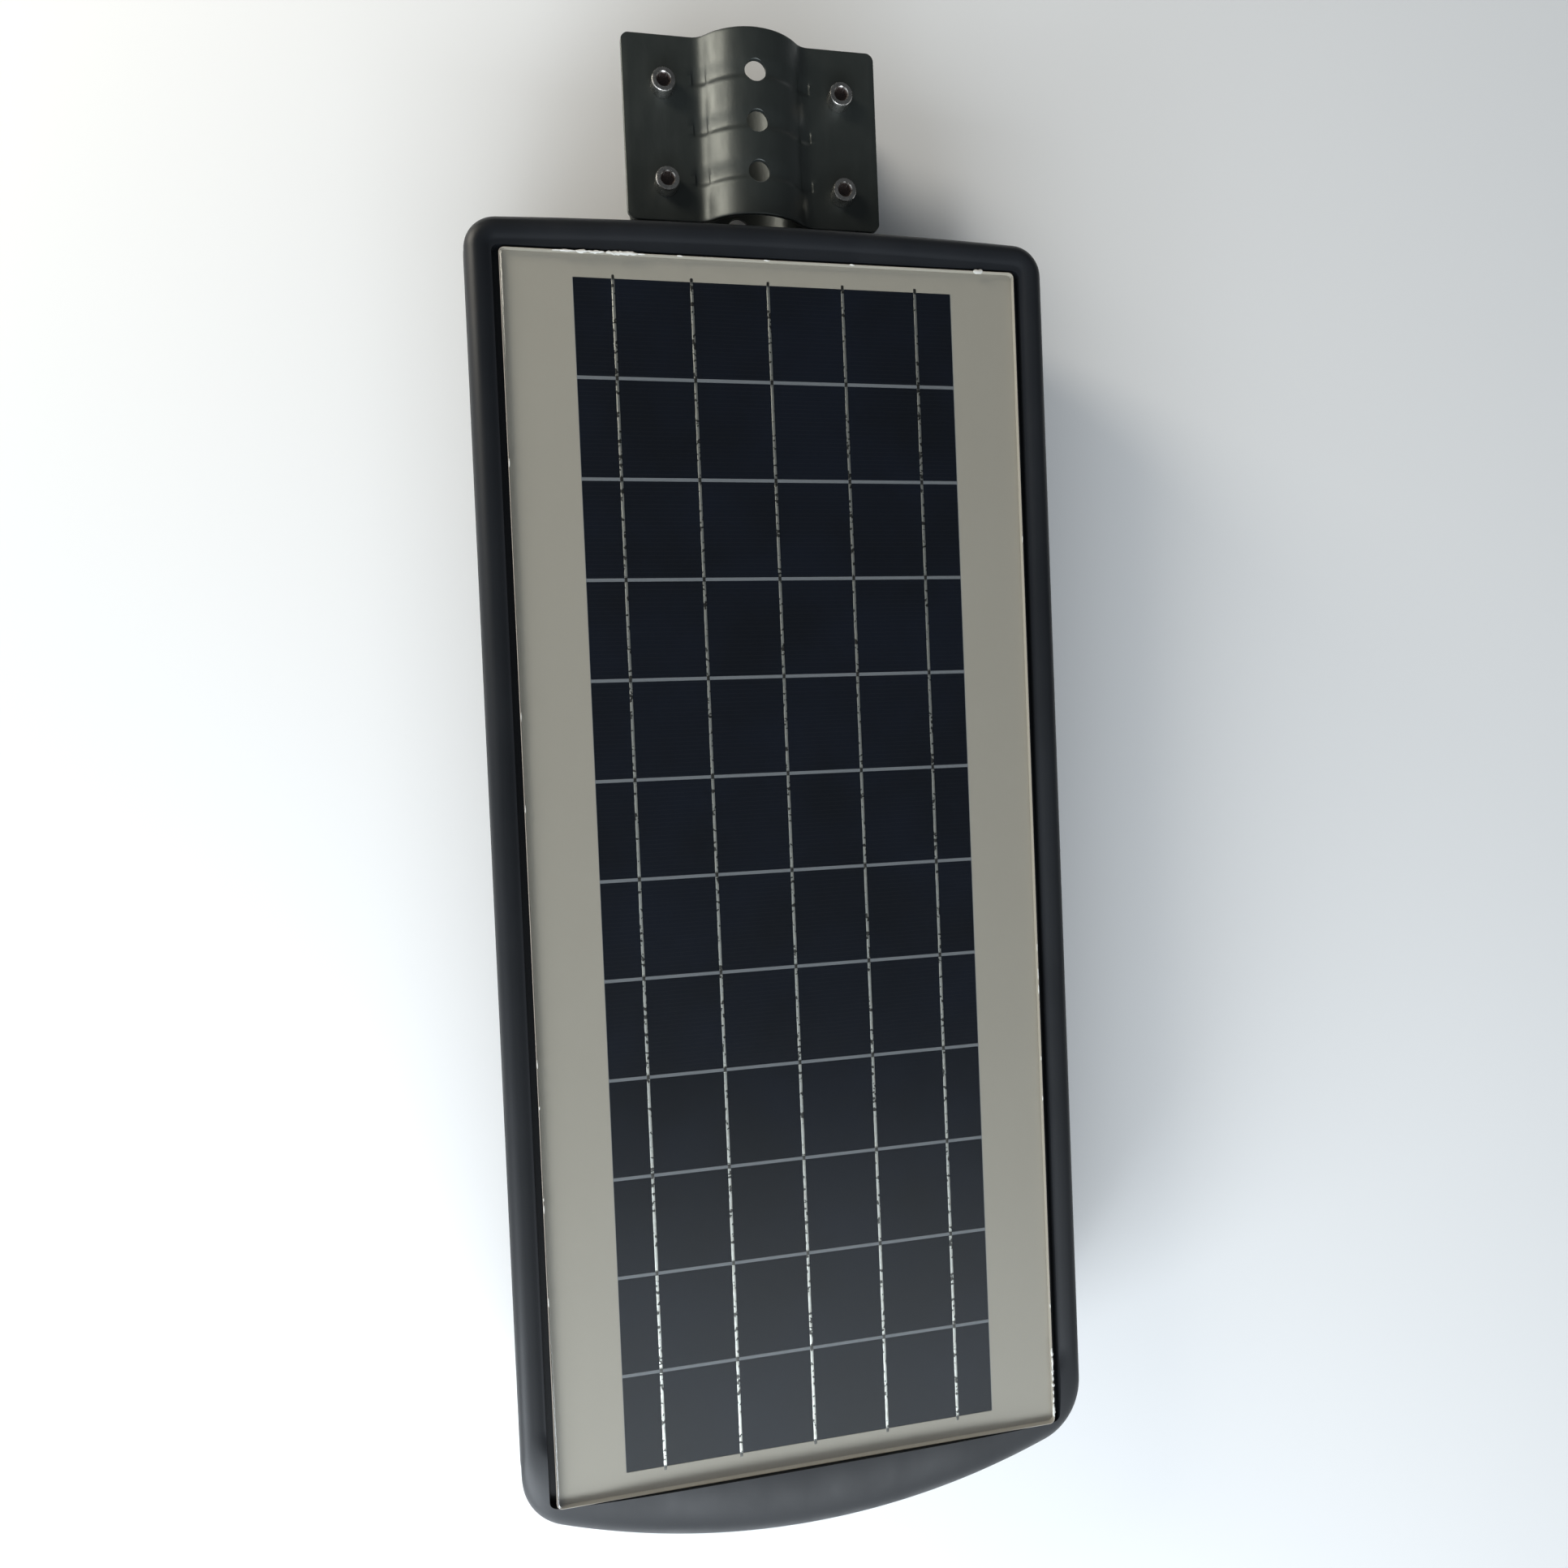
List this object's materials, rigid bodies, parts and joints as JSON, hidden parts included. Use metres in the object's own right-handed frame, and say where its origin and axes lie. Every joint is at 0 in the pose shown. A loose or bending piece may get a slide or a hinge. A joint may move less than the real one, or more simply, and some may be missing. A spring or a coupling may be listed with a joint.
{
  "type": "solar street lamp",
  "caption": "All-in-one solar street lamp: flat housing with a solar panel on top, an LED window below and a two-piece steel clamp that grips a pole end.",
  "frame": {"origin": "on the pole's axis, at the middle of the clamp's front half", "axes": "+X across the housing, +Y along the pole away from the housing, +Z out of the solar panel's face"},
  "size_m": [0.2402, 0.625, 0.0708],
  "materials": {
    "shell": "satin black moulded plastic with a fine mould grain",
    "seal": "black silicone rubber",
    "stainless": "bright stainless fasteners",
    "screw_steel": "bright stainless socket screws, dark in the sockets",
    "glass": "clear low-iron glass with polished edges",
    "encapsulant": "clear film over a pale backing",
    "cells": "near-black blue silicon with fine printed fingers",
    "ribbon": "tinned copper ribbon, dull",
    "backsheet": "off-white laminate backing",
    "sealant": "white silicone adhesive",
    "black_plastic": "black moulded plastic",
    "wire": "PVC insulated wire",
    "battery_can": null,
    "foam": "double-sided foam tape",
    "nickel": "nickel-plated steel",
    "strap": "woven nylon strap",
    "circuit_board": "green solder mask",
    "components": "moulded parts and sleeves",
    "terminal": "green terminal block",
    "aluminium": "plain sheet",
    "led_board": "white solder mask on aluminium",
    "led_phosphor": "yellow phosphor",
    "lens": "clear moulded plastic lens plate",
    "dome": "milky infrared-clear plastic",
    "button": "red button cap",
    "spring_steel": "drawn spring wire",
    "bracket_steel": "dark grey-green coated steel, semi-gloss",
    "brass": "knurled brass"
  },
  "bodies": {
    "housing": {"top_shell": "shell", "bottom_shell": "shell", "shell_gasket": "seal", "shell_screws": "stainless", "panel_glass": "glass", "panel_encapsulant": "encapsulant", "solar_cells": "cells", "cell_ribbons": "ribbon", "panel_backsheet": "backsheet", "panel_sealant": "sealant", "panel_junction_box": "black_plastic", "panel_lead": "wire", "battery_cells": "battery_can", "battery_tray": "black_plastic", "battery_foam": "foam", "battery_links": "nickel", "battery_strap": "strap", "battery_lead": "wire", "controller_board": "circuit_board", "controller_components": "components", "controller_terminals": "terminal", "controller_screws": "stainless", "heat_spreader": "aluminium", "led_board": "led_board", "led_chips": "led_phosphor", "spreader_screws": "stainless", "led_lead": "wire", "lens_plate": "lens", "lens_gasket": "seal", "lens_screws": "stainless", "sensor_board": "circuit_board", "pir_element": "nickel", "sensor_dome": "dome", "sensor_ring": "shell", "sensor_lead": "wire", "switch_body": "black_plastic", "switch_spring": "spring_steel", "switch_nut": "stainless", "switch_lead": "wire", "bracket_rear": "bracket_steel", "bracket_inserts": "brass", "bracket_screws": "stainless", "bracket_washers": "stainless", "clamp_washers": "stainless", "clamp_lock_washers": "stainless", "clamp_nuts": "stainless"},
    "front_half": {"bracket_front": "bracket_steel"},
    "screw_1": {"clamp_screw_1": "screw_steel"},
    "screw_2": {"clamp_screw_2": "screw_steel"},
    "screw_3": {"clamp_screw_3": "screw_steel"},
    "screw_4": {"clamp_screw_4": "screw_steel"},
    "button": {"switch_button": "button"}
  },
  "joints": [
    {"name": "clamp_slide", "type": "slide", "parent": "housing", "child": "front_half", "axis": [0, 0, 1], "range_m": [-0.008, 0.008]},
    {"name": "screw_1_turn", "type": "hinge", "parent": "front_half", "child": "screw_1", "pos_m": [-0.0375, 0.0165, 0.0162], "axis": [0, 0, 1], "range_deg": [-2880, 2880]},
    {"name": "screw_2_turn", "type": "hinge", "parent": "front_half", "child": "screw_2", "pos_m": [0.0375, 0.0165, 0.0162], "axis": [0, 0, 1], "range_deg": [-2880, 2880]},
    {"name": "screw_3_turn", "type": "hinge", "parent": "front_half", "child": "screw_3", "pos_m": [-0.0375, -0.0235, 0.0162], "axis": [0, 0, 1], "range_deg": [-2880, 2880]},
    {"name": "screw_4_turn", "type": "hinge", "parent": "front_half", "child": "screw_4", "pos_m": [0.0375, -0.0235, 0.0162], "axis": [0, 0, 1], "range_deg": [-2880, 2880]},
    {"name": "power_button_press", "type": "slide", "parent": "housing", "child": "button", "axis": [0, 0, 1], "range_m": [0, 0.0025], "stiffness_N_per_m": 600, "springref_m": -0.0015, "deforming": ["switch_spring"]}
  ],
  "couplings": [
    {"joint": "screw_1_turn", "follows": "clamp_slide", "rad_per_m": 6283.2},
    {"joint": "screw_2_turn", "follows": "clamp_slide", "rad_per_m": 6283.2},
    {"joint": "screw_3_turn", "follows": "clamp_slide", "rad_per_m": 6283.2},
    {"joint": "screw_4_turn", "follows": "clamp_slide", "rad_per_m": 6283.2}
  ]
}
